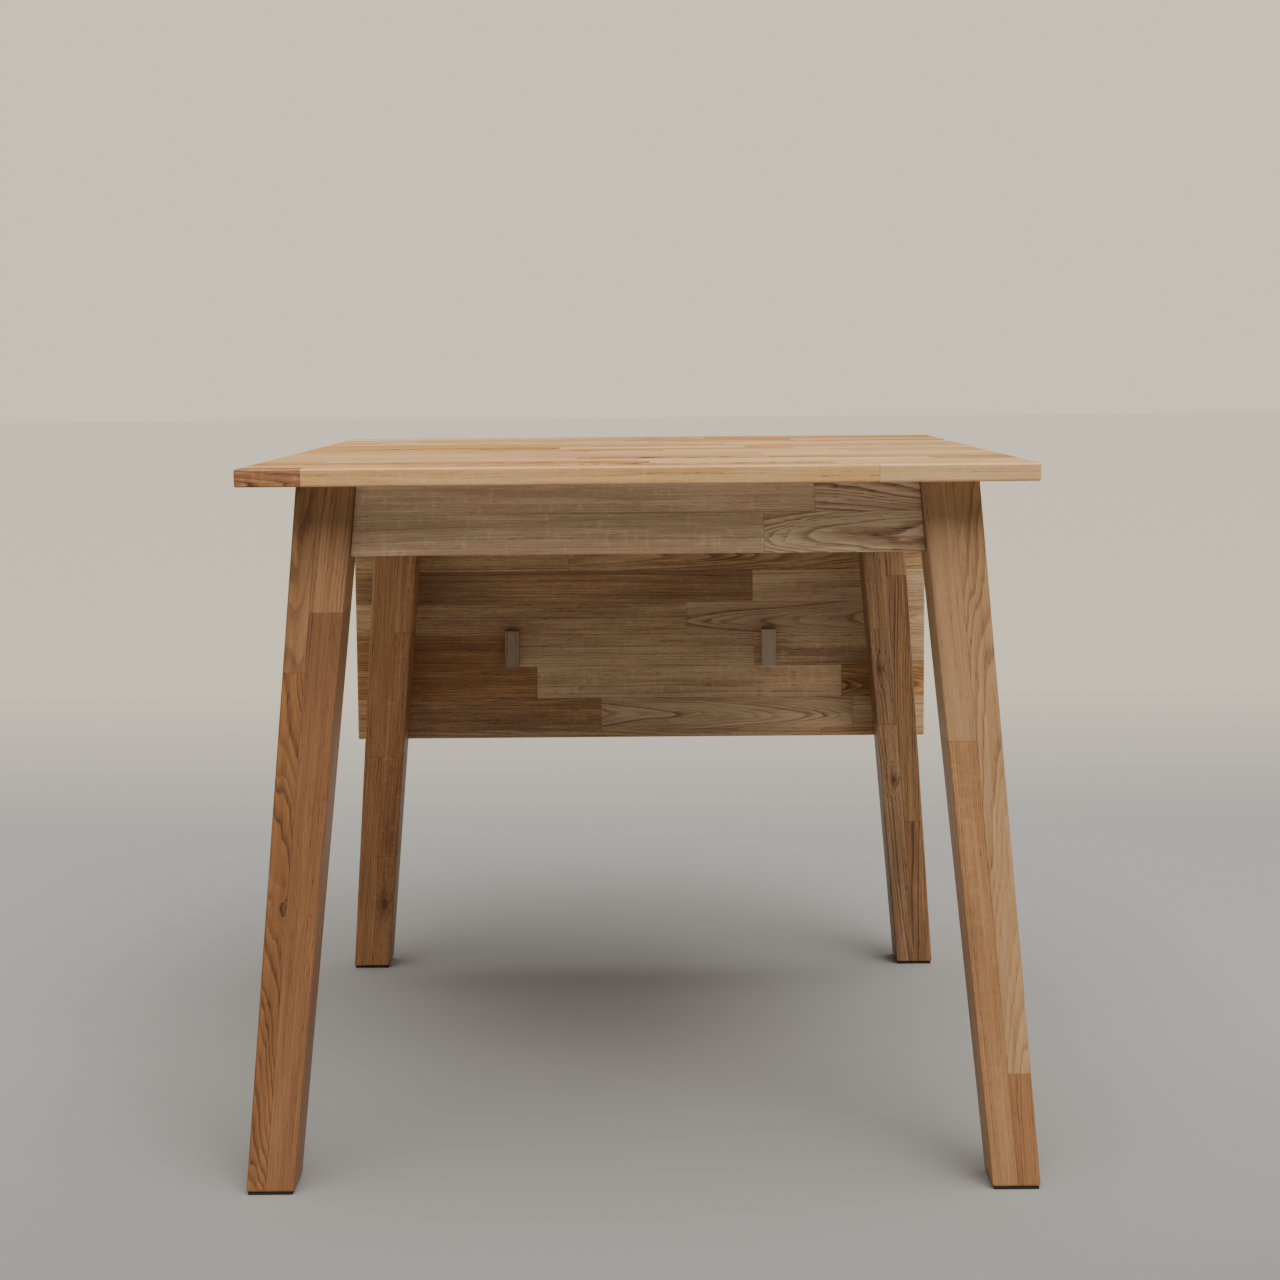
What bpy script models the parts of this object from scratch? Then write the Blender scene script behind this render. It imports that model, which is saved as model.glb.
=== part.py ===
"""Drop leaf table: a fixed square top, one leaf that hangs behind it, and two pull-out supports.

Units are metres, +Z is up.  The origin is on the floor, at the middle of the table's overall size
with the leaf hanging.  The leaf hangs on the +Y side, and the table is symmetric about X = 0.
Most places are worked out in the top's own frame: its origin is the middle of the top's underside.
"""

import math

import bmesh
import bpy
from mathutils import Matrix, Vector

# ---------------------------------------------------------------- driving dimensions
HEIGHT = 0.750
TOP_SIDE = 0.800
LEAF_REACH = 0.400
BOARD = 0.018
EDGE_ROUND = 0.002
UNDERSIDE = HEIGHT - BOARD

LEG_INSET = 0.052
LEG_TOP_SECTION = 0.060
LEG_FOOT_SECTION = 0.050
LEG_SPREAD = 0.064
LEG_ROUND = 0.0025

APRON_HEIGHT = 0.075
APRON_THICKNESS = 0.020
APRON_SETBACK = 0.009

PAD_SIDE = 0.046
PAD_THICKNESS = 0.003

LOPER_X = 0.180
LOPER_WIDTH = 0.020
LOPER_HEIGHT = 0.040
LOPER_LENGTH = 0.520
LOPER_PROUD = 0.012
LOPER_SLIP = 0.0008
LOPER_TRAVEL_UNDER_LEAF = 0.296

RAIL_Y = 0.160
STOP_BLOCK_START = 0.247
STOP_BLOCK_LENGTH = 0.051
STOP_BLOCK_THICKNESS = 0.015

JOINT_GAP = 0.001
PIN_DROP = 0.0038
PIN_RADIUS = 0.0014
KNUCKLE_RADIUS = 0.0034
KNUCKLE_LENGTH = 0.010
KNUCKLES = 5
PLATE_THICKNESS = 0.0015
PLATE_REACH = 0.028
HINGE_X = 0.250

BLOCK_THICKNESS = 0.022
BLOCK_TOP = 0.006
BLOCK_BOTTOM = 0.070
LEG_CHAMFER = 0.014
BOLT_RADIUS = 0.004
BOLT_DROP = 0.038
BOLT_IN_LEG = 0.040
FLANGE_RADIUS = 0.0085
FLANGE_THICKNESS = 0.0018
NUT_FLATS = 0.013
NUT_THICKNESS = 0.008
BLOCK_SCREW_HEAD = (0.266, 0.305)

BRACKET_REACH = 0.025
BRACKET_WIDTH = 0.016
BRACKET_THICKNESS = 0.002
BRACKETS = {"rear_left": ("rear", -0.070), "rear_right": ("rear", 0.070), "front_left": ("front", 0.120),
            "front_right": ("front", -0.120), "left": ("left", 0.000), "right": ("right", 0.000)}
DOWEL_RADIUS = 0.004
TENON_LENGTH = 0.010
TENON_THICKNESS = 0.010
TENON_HEIGHT = 0.050

# Countersunk screws: head radius, shank radius, length.
BLOCK_SCREW = (0.0042, 0.0022, 0.028)
SMALL_SCREW = (0.0031, 0.0015, 0.0135)

GAP = 0.0003
FIT = 0.0004
ROUND_SEGMENTS = 12
QUARTER_TURN = math.pi / 2
DIAGONAL = Vector((math.sqrt(0.5), math.sqrt(0.5), 0.0))
UP = Vector((0.0, 0.0, 1.0))
# Stands an outline drawn in the XY plane up in the YZ plane, its thickness along X.
YZ_OUTLINE_ALONG_X = Matrix(((0, 0, 1, 0), (1, 0, 0, 0), (0, 1, 0, 0), (0, 0, 0, 1)))

# ---------------------------------------------------------------- worked out from them
HALF_TOP = TOP_SIDE / 2
LEG_FACE = HALF_TOP - LEG_INSET
FOOT_FACE = LEG_FACE + LEG_SPREAD
LEG_MIDDLE = LEG_FACE - LEG_TOP_SECTION / 2
APRON_OUT = LEG_FACE - APRON_SETBACK
APRON_IN = APRON_OUT - APRON_THICKNESS
PIN_Y = HALF_TOP + JOINT_GAP / 2
HINGE_LENGTH = KNUCKLES * KNUCKLE_LENGTH


def leaf_lean():
    """Angle past vertical at which the leaf's lower edge comes to rest on the rear legs."""
    edge_reach = JOINT_GAP / 2 + LEAF_REACH
    edge_depth = PIN_DROP + edge_reach
    leg_face = LEG_FACE + LEG_SPREAD * edge_depth / UNDERSIDE
    return math.asin((PIN_Y + PIN_DROP - leg_face - 2 * GAP) / edge_reach)


LEAF_LEAN = leaf_lean()
LEAF_BACK = (PIN_Y + (PIN_DROP + BOARD) * math.cos(LEAF_LEAN)
             - (JOINT_GAP / 2 + EDGE_ROUND) * math.sin(LEAF_LEAN))
FOOT_REACH = FOOT_FACE - LEG_SPREAD * (PAD_THICKNESS + LEG_ROUND) / UNDERSIDE
TOP_Y = (FOOT_REACH - LEAF_BACK) / 2


# ---------------------------------------------------------------- scene and materials
def start_scene():
    for obj in list(bpy.data.objects):
        bpy.data.objects.remove(obj, do_unlink=True)


def new_collection(name):
    collection = bpy.data.collections.new(name)
    bpy.context.scene.collection.children.link(collection)
    return collection


start_scene()
PARTS = new_collection("drop_leaf_table")
CUTTERS = new_collection("cutters")
CUTTERS.hide_render = True


def principled(name, colour, roughness, metallic=0.0):
    material = bpy.data.materials.new(name)
    material.use_nodes = True
    shader = material.node_tree.nodes["Principled BSDF"]
    shader.inputs["Base Color"].default_value = (*colour, 1.0)
    shader.inputs["Roughness"].default_value = roughness
    shader.inputs["Metallic"].default_value = metallic
    return material


OILED_OAK = principled("oiled_oak", (0.46, 0.27, 0.13), 0.45)
OILED_OAK_LEG = principled("oiled_oak_leg", (0.40, 0.22, 0.10), 0.48)
RAW_OAK = principled("raw_oak", (0.33, 0.25, 0.18), 0.70)
BEECH = principled("beech", (0.55, 0.38, 0.24), 0.60)
ZINC_STEEL = principled("zinc_plated_steel", (0.62, 0.62, 0.60), 0.35, 1.0)
FELT = principled("dark_felt", (0.025, 0.022, 0.020), 0.95)


# ---------------------------------------------------------------- helpers
def add_empty(name, location, rotation=(0.0, 0.0, 0.0)):
    empty = bpy.data.objects.new(name, None)
    empty.location = location
    empty.rotation_euler = rotation
    PARTS.objects.link(empty)
    return empty


def add_object(name, mesh, material, parent, matrix=Matrix.Identity(4)):
    """Put a mesh in the parts collection, placed in its parent's frame."""
    obj = bpy.data.objects.new(name, mesh)
    if not mesh.materials:
        mesh.materials.append(material)
    PARTS.objects.link(obj)
    obj.parent = parent
    obj.matrix_basis = matrix
    return obj


def mesh_from(name, shape, smooth=False):
    bmesh.ops.recalc_face_normals(shape, faces=shape.faces)
    mesh = bpy.data.meshes.new(name)
    shape.to_mesh(mesh)
    shape.free()
    if smooth:
        mesh.shade_smooth()
        mesh.set_sharp_from_angle(angle=math.radians(35))
    return mesh


def tapered_block(name, low, high, bottom, top):
    """A six-sided block between two level rectangles, each given as (x0, x1, y0, y1)."""
    shape = bmesh.new()
    bmesh.ops.create_cube(shape, size=2.0)
    for vert in shape.verts:
        rectangle = high if vert.co.z > 0 else low
        x = rectangle[1] if vert.co.x > 0 else rectangle[0]
        y = rectangle[3] if vert.co.y > 0 else rectangle[2]
        vert.co = (x, y, top if vert.co.z > 0 else bottom)
    return mesh_from(name, shape)


def box(name, size, centre=(0.0, 0.0, 0.0)):
    x, y, z = centre
    rectangle = (x - size[0] / 2, x + size[0] / 2, y - size[1] / 2, y + size[1] / 2)
    return tapered_block(name, rectangle, rectangle, z - size[2] / 2, z + size[2] / 2)


def round_edges(obj, width, segments=2):
    bevel = obj.modifiers.new("eased_edges", "BEVEL")
    bevel.width = width
    bevel.segments = segments
    bevel.limit_method = "ANGLE"


def outline_mesh(name, outlines, thickness):
    """Fill closed outlines in the XY plane, later ones as holes, and thicken them along Z."""
    curve = bpy.data.curves.new(name, "CURVE")
    curve.dimensions = "2D"
    curve.fill_mode = "BOTH"
    curve.extrude = thickness / 2
    for outline in outlines:
        spline = curve.splines.new("POLY")
        spline.points.add(len(outline) - 1)
        for point, (x, y) in zip(spline.points, outline):
            point.co = (x, y, 0.0, 1.0)
        spline.use_cyclic_u = True
    flat = bpy.data.objects.new(name, curve)
    PARTS.objects.link(flat)
    raw = bpy.data.meshes.new_from_object(flat.evaluated_get(bpy.context.evaluated_depsgraph_get()))
    bpy.data.objects.remove(flat)
    shape = bmesh.new()
    shape.from_mesh(raw)
    bmesh.ops.remove_doubles(shape, verts=shape.verts, dist=1e-6)
    return mesh_from(name, shape)


def arc(radius, start, end, steps):
    """Points on a circle about the origin, both ends included; angles in radians."""
    angles = [start + (end - start) * i / steps for i in range(steps + 1)]
    return [(radius * math.cos(a), radius * math.sin(a)) for a in angles]


def frame_at(point, direction):
    """A frame at a point whose +Z runs along the direction."""
    turn = Vector(direction).to_track_quat("Z", "Y").to_matrix().to_4x4()
    return Matrix.Translation(point) @ turn


def turned_mesh(name, profile, segments=ROUND_SEGMENTS):
    """Spin a (radius, height) profile about +Z; it starts and ends on the axis."""
    shape = bmesh.new()
    verts = [shape.verts.new((radius, 0.0, height)) for radius, height in profile]
    edges = [shape.edges.new(pair) for pair in zip(verts, verts[1:])]
    bmesh.ops.spin(shape, geom=verts + edges, axis=UP, cent=(0, 0, 0), angle=math.tau,
                   steps=segments, use_merge=True)
    bmesh.ops.remove_doubles(shape, verts=shape.verts, dist=1e-7)
    return mesh_from(name, shape, smooth=True)


def copies(name, mesh, frames):
    """One mesh that holds a copy of another at each frame, for a tool that cuts several holes."""
    shape = bmesh.new()
    for frame in frames:
        placed = mesh.copy()
        placed.transform(frame)
        shape.from_mesh(placed)
    return mesh_from(name, shape)


def rod_profile(radius, start, end):
    return [(0.0, start), (radius, start), (radius, end), (0.0, end)]


def screw_profile(head, shank, length):
    """A countersunk wood screw that points along +Z, its head's flat top at zero."""
    head_depth = head - shank
    return [(0.0, 0.0), (head, 0.0), (shank, head_depth), (shank, length - 2 * shank), (0.0, length)]


def screw_hole_profile(head, shank, length, mouth):
    """The hole for a screw: the same cone and shank with clearance, and a mouth behind the head."""
    wide = head + FIT
    narrow = shank + FIT
    return [(0.0, -mouth), (wide, -mouth), (wide, 0.0), (narrow, head - shank), (narrow, length + FIT),
            (0.0, length + FIT)]


def cutter(name, mesh, parent, matrix=Matrix.Identity(4)):
    obj = bpy.data.objects.new(name, mesh)
    CUTTERS.objects.link(obj)
    obj.parent = parent
    obj.matrix_basis = matrix
    obj.hide_render = True
    obj.display_type = "WIRE"
    return obj


def cut(target, tool, operation="DIFFERENCE"):
    boolean = target.modifiers.new("with_" + tool.name, "BOOLEAN")
    boolean.operation = operation
    boolean.solver = "EXACT"
    boolean.object = tool


def combined(name, mesh, steps, smooth=False):
    """A mesh with each (operation, tool mesh) step worked into it, for a piece that is used often."""
    base = cutter(name, mesh, None)
    tools = [cutter(name + "_tool", tool, None) for operation, tool in steps]
    for (operation, _), tool in zip(steps, tools):
        cut(base, tool, operation)
    done = bpy.data.meshes.new_from_object(base.evaluated_get(bpy.context.evaluated_depsgraph_get()))
    for obj in (base, *tools):
        bpy.data.objects.remove(obj)
    if smooth:
        done.shade_smooth()
        done.set_sharp_from_angle(angle=math.radians(35))
    return done


# ---------------------------------------------------------------- frames
TOP_FRAME = add_empty("top_frame", (0.0, TOP_Y, UNDERSIDE))
HINGE_AXIS = add_empty("leaf_hinge_axis", (0.0, TOP_Y + PIN_Y, UNDERSIDE - PIN_DROP),
                       (-QUARTER_TURN - LEAF_LEAN, 0.0, 0.0))
CORNERS = {"rear_right": 0, "rear_left": 1, "front_left": 2, "front_right": 3}
SIDES = {"rear": 0, "left": 1, "front": 2, "right": 3}


def turned_frame(quarter):
    """The top's frame turned by quarter turns about the table's vertical centre line."""
    return Matrix.Rotation(quarter * QUARTER_TURN, 4, "Z")


# ---------------------------------------------------------------- boards
def build_top():
    mesh = box("fixed_top", (TOP_SIDE, TOP_SIDE, BOARD), (0.0, 0.0, BOARD / 2))
    top = add_object("fixed_top", mesh, OILED_OAK, TOP_FRAME)
    round_edges(top, EDGE_ROUND)
    return top


def build_leaf():
    """The leaf in the hinge's frame: +Y along the leaf away from the pin, +Z through its show face."""
    centre = (0.0, JOINT_GAP / 2 + LEAF_REACH / 2, PIN_DROP + BOARD / 2)
    mesh = box("drop_leaf", (TOP_SIDE, LEAF_REACH, BOARD), centre)
    leaf = add_object("drop_leaf", mesh, OILED_OAK, HINGE_AXIS)
    round_edges(leaf, EDGE_ROUND)
    return leaf


# ---------------------------------------------------------------- legs, pads and aprons
def leg_mesh():
    """Tapered, splayed leg in its corner's frame: origin at the top's middle, +X and +Y outward."""
    half_top = LEG_TOP_SECTION / 2
    foot_height = PAD_THICKNESS + GAP
    rise = UNDERSIDE - foot_height
    outer = half_top + LEG_SPREAD * rise / UNDERSIDE
    inner = outer - LEG_FOOT_SECTION
    top = (-half_top, half_top, -half_top, half_top)
    foot = (inner, outer, inner, outer)
    return tapered_block("leg", foot, top, -rise, -GAP)


def pad_mesh():
    centre = LEG_TOP_SECTION / 2 + LEG_SPREAD - LEG_FOOT_SECTION / 2
    return box("foot_pad", (PAD_SIDE, PAD_SIDE, PAD_THICKNESS), (centre, centre, 0.0))


def build_legs():
    legs = {}
    shared_leg = leg_mesh()
    shared_pad = pad_mesh()
    place = Matrix.Translation((LEG_MIDDLE, LEG_MIDDLE, 0.0))
    pad_drop = Matrix.Translation((0.0, 0.0, PAD_THICKNESS / 2 - UNDERSIDE))
    for corner, quarter in CORNERS.items():
        frame = turned_frame(quarter) @ place
        legs[corner] = add_object("leg_" + corner, shared_leg, OILED_OAK_LEG, TOP_FRAME, frame)
        round_edges(legs[corner], LEG_ROUND)
        add_object("foot_pad_" + corner, shared_pad, FELT, TOP_FRAME, frame @ pad_drop)
    return legs


def apron_mesh():
    """Apron on the +Y side: its ends follow the lean of the legs it meets."""
    inner_top = LEG_FACE - LEG_TOP_SECTION
    inner_foot = FOOT_FACE - LEG_FOOT_SECTION
    inner_low = inner_top + (inner_foot - inner_top) * APRON_HEIGHT / UNDERSIDE
    high = (GAP - inner_top, inner_top - GAP, APRON_IN, APRON_OUT)
    low = (GAP - inner_low, inner_low - GAP, APRON_IN, APRON_OUT)
    return tapered_block("apron", low, high, -APRON_HEIGHT, -GAP)


def build_aprons():
    aprons = {}
    shared = apron_mesh()
    for side, quarter in SIDES.items():
        frame = turned_frame(quarter)
        aprons[side] = add_object(side + "_apron", shared, OILED_OAK_LEG, TOP_FRAME, frame)
        round_edges(aprons[side], 0.001, 1)
    return aprons


# ---------------------------------------------------------------- corner blocks and bolts
def corner_faces():
    """Distances along the diagonal from the centre to the block's outer and inner faces."""
    leg_corner = (LEG_FACE - LEG_TOP_SECTION) * math.sqrt(2)
    outer = leg_corner + LEG_CHAMFER - GAP
    return outer, outer - BLOCK_THICKNESS


def corner_block_mesh():
    """Four-sided block across the corner, its two ends flat on the aprons."""
    outer, inner = corner_faces()
    side = APRON_IN - GAP
    far = outer * math.sqrt(2) - side
    near = inner * math.sqrt(2) - side
    outline = [(side, near), (side, far), (far, side), (near, side)]
    return outline_mesh("corner_block", [outline], BLOCK_BOTTOM - BLOCK_TOP)


def block_screw_frames():
    """One screw into each apron, half-way up the block, heads in pockets in its inner face."""
    x, y = BLOCK_SCREW_HEAD
    drop = (BLOCK_TOP + BLOCK_BOTTOM) / 2
    return [frame_at((x, y, -drop), (0, 1, 0)), frame_at((y, x, -drop), (1, 0, 0))]


def bolt_frame():
    """Frame on a corner's bolt: +Z outward along the diagonal, origin at the block's inner face."""
    return frame_at(DIAGONAL * corner_faces()[1] - UP * BOLT_DROP, DIAGONAL)


def flange_nut_mesh():
    """Hexagon nut made in one with its washer, bored through; its seat is at the frame's origin."""
    flange = turned_mesh("flange_nut", rod_profile(FLANGE_RADIUS, -GAP - FLANGE_THICKNESS, -GAP))
    end = -GAP - NUT_THICKNESS
    hexagon = turned_mesh("hexagon", rod_profile(NUT_FLATS / math.sqrt(3), end, -2 * GAP), 6)
    bore = turned_mesh("bore", rod_profile(BOLT_RADIUS + FIT, end - 0.002, 0.002))
    return combined("flange_nut", flange, (("UNION", hexagon), ("DIFFERENCE", bore)), smooth=True)


def build_corners(legs, aprons):
    """Block, hanger bolt and nut at each corner, with the holes and the flat they need."""
    depth = (BLOCK_TOP + BLOCK_BOTTOM) / 2
    block_mesh = corner_block_mesh()
    flat_mesh = box("leg_flat", (BLOCK_BOTTOM + 0.016, 0.160, 0.040), (0.0, 0.0, GAP - 0.020))
    flat_frame = frame_at(DIAGONAL * corner_faces()[0], DIAGONAL)
    bolt_end = BLOCK_THICKNESS + BOLT_IN_LEG
    bolt_start = -GAP - NUT_THICKNESS - 0.004
    bolt_mesh = turned_mesh("hanger_bolt", rod_profile(BOLT_RADIUS, bolt_start, bolt_end))
    nut_mesh = flange_nut_mesh()
    bolt_hole = turned_mesh("bolt_hole", rod_profile(BOLT_RADIUS + FIT, -0.010, bolt_end + FIT))
    screw_hole = turned_mesh("screw_hole", screw_hole_profile(*BLOCK_SCREW, mouth=0.030))
    screw_holes = copies("screw_holes", screw_hole, block_screw_frames())
    sides = list(SIDES)
    for corner, quarter in CORNERS.items():
        turn = turned_frame(quarter)
        block = add_object("corner_block_" + corner, block_mesh, BEECH, TOP_FRAME,
                           turn @ Matrix.Translation((0.0, 0.0, -depth)))
        flat = cutter("flat_" + corner, flat_mesh, TOP_FRAME, turn @ flat_frame)
        bolt_cutter = cutter("bolt_hole_" + corner, bolt_hole, TOP_FRAME, turn @ bolt_frame())
        screw_cutter = cutter("screw_holes_" + corner, screw_holes, TOP_FRAME, turn)
        cut(legs[corner], flat)
        cut(legs[corner], bolt_cutter)
        cut(block, bolt_cutter)
        cut(block, screw_cutter)
        cut(aprons[sides[quarter]], screw_cutter)
        cut(aprons[sides[quarter - 1]], screw_cutter)
        add_object("hanger_bolt_" + corner, bolt_mesh, ZINC_STEEL, TOP_FRAME, turn @ bolt_frame())
        add_object("flange_nut_" + corner, nut_mesh, ZINC_STEEL, TOP_FRAME, turn @ bolt_frame())


# ---------------------------------------------------------------- pull-out supports
def slot_cutter(name, y, depth):
    """Two slots, open at the top edge, that the pull-out supports slide through."""
    size = (LOPER_WIDTH + 2 * LOPER_SLIP, depth, 2 * LOPER_HEIGHT + 4 * LOPER_SLIP + 2 * GAP)
    frames = [Matrix.Translation((x, y, 0.0)) for x in (-LOPER_X, LOPER_X)]
    return cutter(name, copies(name, box("slot", size), frames), TOP_FRAME)


def build_cross_rail(aprons):
    """Rail whose end tenons sit in the side aprons; the supports' inner ends run in its slots."""
    half = APRON_IN - GAP
    middle = -APRON_HEIGHT / 2
    body = box("cross_rail", (2 * half, APRON_THICKNESS, APRON_HEIGHT - 2 * GAP), (0.0, 0.0, middle))
    tenon = (2 * half + 2 * TENON_LENGTH, TENON_THICKNESS, TENON_HEIGHT)
    tenons = box("tenons", tenon, (0.0, 0.0, middle))
    mesh = combined("cross_rail", body, (("UNION", tenons),))
    place = Matrix.Translation((0.0, RAIL_Y, 0.0))
    rail = add_object("cross_rail", mesh, BEECH, TOP_FRAME, place)
    cut(rail, slot_cutter("rail_slots", RAIL_Y, APRON_THICKNESS + 0.010))
    mortise = box("mortises", [side + 2 * FIT for side in tenon], (0.0, 0.0, middle))
    mortises = cutter("mortises", mortise, TOP_FRAME, place)
    cut(aprons["left"], mortises)
    cut(aprons["right"], mortises)


def build_lopers(aprons):
    """Two sliding supports just under the top, each with a stop dowel that meets the cross rail."""
    cut(aprons["rear"], slot_cutter("apron_slots", APRON_OUT, 3 * APRON_THICKNESS))
    tip = APRON_OUT + LOPER_PROUD
    stop = RAIL_Y - APRON_THICKNESS / 2 - DOWEL_RADIUS - LOPER_TRAVEL_UNDER_LEAF - tip
    middle = -LOPER_SLIP - GAP - LOPER_HEIGHT / 2
    reach = LOPER_WIDTH / 2 + 0.012
    body = box("loper", (LOPER_WIDTH, LOPER_LENGTH, LOPER_HEIGHT), (0.0, -LOPER_LENGTH / 2, 0.0))
    dowel = turned_mesh("loper_stop", rod_profile(DOWEL_RADIUS, -reach, reach))
    hole = turned_mesh("stop_hole", rod_profile(DOWEL_RADIUS + FIT, -reach, reach))
    for side, x in (("left", -LOPER_X), ("right", LOPER_X)):
        place = Matrix.Translation((x, tip, middle))
        across = place @ frame_at((0.0, stop, 0.0), (1, 0, 0))
        loper = add_object(side + "_loper", body, OILED_OAK_LEG, TOP_FRAME, place)
        round_edges(loper, EDGE_ROUND, 1)
        cut(loper, cutter(side + "_stop_hole", hole, TOP_FRAME, across))
        add_object(side + "_loper_stop", dowel, BEECH, TOP_FRAME, across)


def build_stop_blocks():
    """Two blocks on the leaf's inner face that the supports' tips meet when the leaf is up."""
    height = PIN_DROP - GAP - STOP_BLOCK_THICKNESS / 2
    along = JOINT_GAP / 2 + STOP_BLOCK_START + STOP_BLOCK_LENGTH / 2
    mesh = box("stop_block", (LOPER_WIDTH, STOP_BLOCK_LENGTH, STOP_BLOCK_THICKNESS))
    for side, x in (("left", -LOPER_X), ("right", LOPER_X)):
        place = Matrix.Translation((x, along, height))
        block = add_object(side + "_stop_block", mesh, RAW_OAK, HINGE_AXIS, place)
        round_edges(block, 0.001, 1)


# ---------------------------------------------------------------- hinges
def plate_screw_frames():
    """Three screws a plate, the middle one further from the pin; they point up into the board."""
    face = KNUCKLE_RADIUS - PLATE_THICKNESS
    places = ((-0.5, 0.5), (0.0, 0.75), (0.5, 0.5))
    pitch = HINGE_LENGTH * 0.70
    return [frame_at((pitch * x, PLATE_REACH * y, face), UP) for x, y in places]


def knuckle_notches(places):
    """Boxes that clear the other plate's knuckles, a little longer than they are."""
    reach = 2 * (KNUCKLE_RADIUS + 2 * FIT)
    shape = box("notch", (KNUCKLE_LENGTH + FIT, reach, reach * 1.5))
    steps = [(place - (KNUCKLES - 1) / 2) * KNUCKLE_LENGTH for place in places]
    return copies("notches", shape, [Matrix.Translation((step, 0.0, 0.0)) for step in steps])


def hinge_plate_mesh(name, notches, holes):
    """Plate that curls into its knuckles, made as a side outline run along X for the whole hinge.

    The flat runs along +Y from the pin, level with the top of the knuckle.
    """
    low = KNUCKLE_RADIUS - PLATE_THICKNESS
    meet = math.asin(low / KNUCKLE_RADIUS)
    curl = arc(KNUCKLE_RADIUS, QUARTER_TURN, math.tau + meet, 14)
    outline = [(PLATE_REACH, KNUCKLE_RADIUS)] + curl + [(PLATE_REACH, low)]
    bore = arc(PIN_RADIUS + FIT, 0.0, math.tau, ROUND_SEGMENTS)[:-1]
    mesh = outline_mesh(name, [outline, bore], HINGE_LENGTH)
    mesh.transform(YZ_OUTLINE_ALONG_X)
    steps = (("DIFFERENCE", knuckle_notches(notches)), ("DIFFERENCE", holes))
    return combined(name, mesh, steps, smooth=True)


def build_hinges(top, leaf):
    """Two butt hinges under the joint: each has a plate on the top, one on the leaf, and a pin."""
    screw = turned_mesh("hinge_screw", screw_profile(*SMALL_SCREW))
    hole = turned_mesh("hinge_hole", screw_hole_profile(*SMALL_SCREW, mouth=0.001))
    holes = copies("hinge_holes", hole, plate_screw_frames())
    table_mesh = hinge_plate_mesh("hinge_table_plate", (1, 3), holes)
    leaf_mesh = hinge_plate_mesh("hinge_leaf_plate", (0, 2, 4), holes)
    pin = turned_mesh("hinge_pin", rod_profile(PIN_RADIUS, -HINGE_LENGTH / 2, HINGE_LENGTH / 2))
    table_axis = Matrix.Translation((0.0, PIN_Y, -PIN_DROP))
    for side, x in (("left", -HINGE_X), ("right", HINGE_X)):
        label = side + "_hinge_"
        place = table_axis @ Matrix.Translation((x, 0.0, 0.0))
        toward_table = place @ Matrix.Rotation(math.pi, 4, "Z")
        on_leaf = Matrix.Translation((x, 0.0, 0.0))
        add_object(label + "pin", pin, ZINC_STEEL, TOP_FRAME, place @ frame_at((0, 0, 0), (1, 0, 0)))
        for part, mesh, board, parent, frame in (("table", table_mesh, top, TOP_FRAME, toward_table),
                                                 ("leaf", leaf_mesh, leaf, HINGE_AXIS, on_leaf)):
            add_object(label + part + "_plate", mesh, ZINC_STEEL, parent, frame)
            cut(board, cutter(label + part + "_holes", holes, parent, frame))
            for number, spot in enumerate(plate_screw_frames(), start=1):
                name = "%s%s_screw_%d" % (label, part, number)
                add_object(name, screw, ZINC_STEEL, parent, frame @ spot)


# ---------------------------------------------------------------- brackets under the top
def bracket_screw_frames():
    """One screw up into the top and one into the apron."""
    face = FIT + BRACKET_THICKNESS
    middle = (BRACKET_REACH + face) / 2
    return [frame_at((0.0, -middle, -face), UP), frame_at((0.0, -face, -middle), (0, 1, 0))]


def bracket_mesh(holes):
    """Angle bracket in the +Y apron's frame: one flange on the apron, one under the top."""
    web = FIT + BRACKET_THICKNESS
    outline = [(-FIT, -FIT), (-BRACKET_REACH, -FIT), (-BRACKET_REACH, -web), (-web, -web),
               (-web, -BRACKET_REACH), (-FIT, -BRACKET_REACH)]
    mesh = outline_mesh("bracket", [outline], BRACKET_WIDTH)
    mesh.transform(YZ_OUTLINE_ALONG_X)
    return combined("bracket", mesh, (("DIFFERENCE", holes),))


def build_brackets(top, aprons):
    hole = turned_mesh("bracket_hole", screw_hole_profile(*SMALL_SCREW, mouth=0.001))
    holes = copies("bracket_holes", hole, bracket_screw_frames())
    mesh = bracket_mesh(holes)
    for name, (side, x) in BRACKETS.items():
        frame = turned_frame(SIDES[side]) @ Matrix.Translation((x, APRON_IN, 0.0))
        add_object("bracket_" + name, mesh, ZINC_STEEL, TOP_FRAME, frame)
        holes_here = cutter("holes_" + name, holes, TOP_FRAME, frame)
        cut(top, holes_here)
        cut(aprons[side], holes_here)


def build_table():
    top = build_top()
    leaf = build_leaf()
    legs = build_legs()
    aprons = build_aprons()
    build_corners(legs, aprons)
    build_cross_rail(aprons)
    build_lopers(aprons)
    build_stop_blocks()
    build_hinges(top, leaf)
    build_brackets(top, aprons)


build_table()
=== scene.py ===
"""Drop leaf table in oiled, stave-glued oak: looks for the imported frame.

The wooden boards are laminated from staves, so each board is built as a surface that knows, for
every face, which stave it lies on and where in that stave it is.  One oak material reads those
attributes and grows the rings, pores and knots of each stave from them.
"""

from functools import partial

import bpy
import numpy as np
from mathutils import Matrix, Vector


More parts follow.
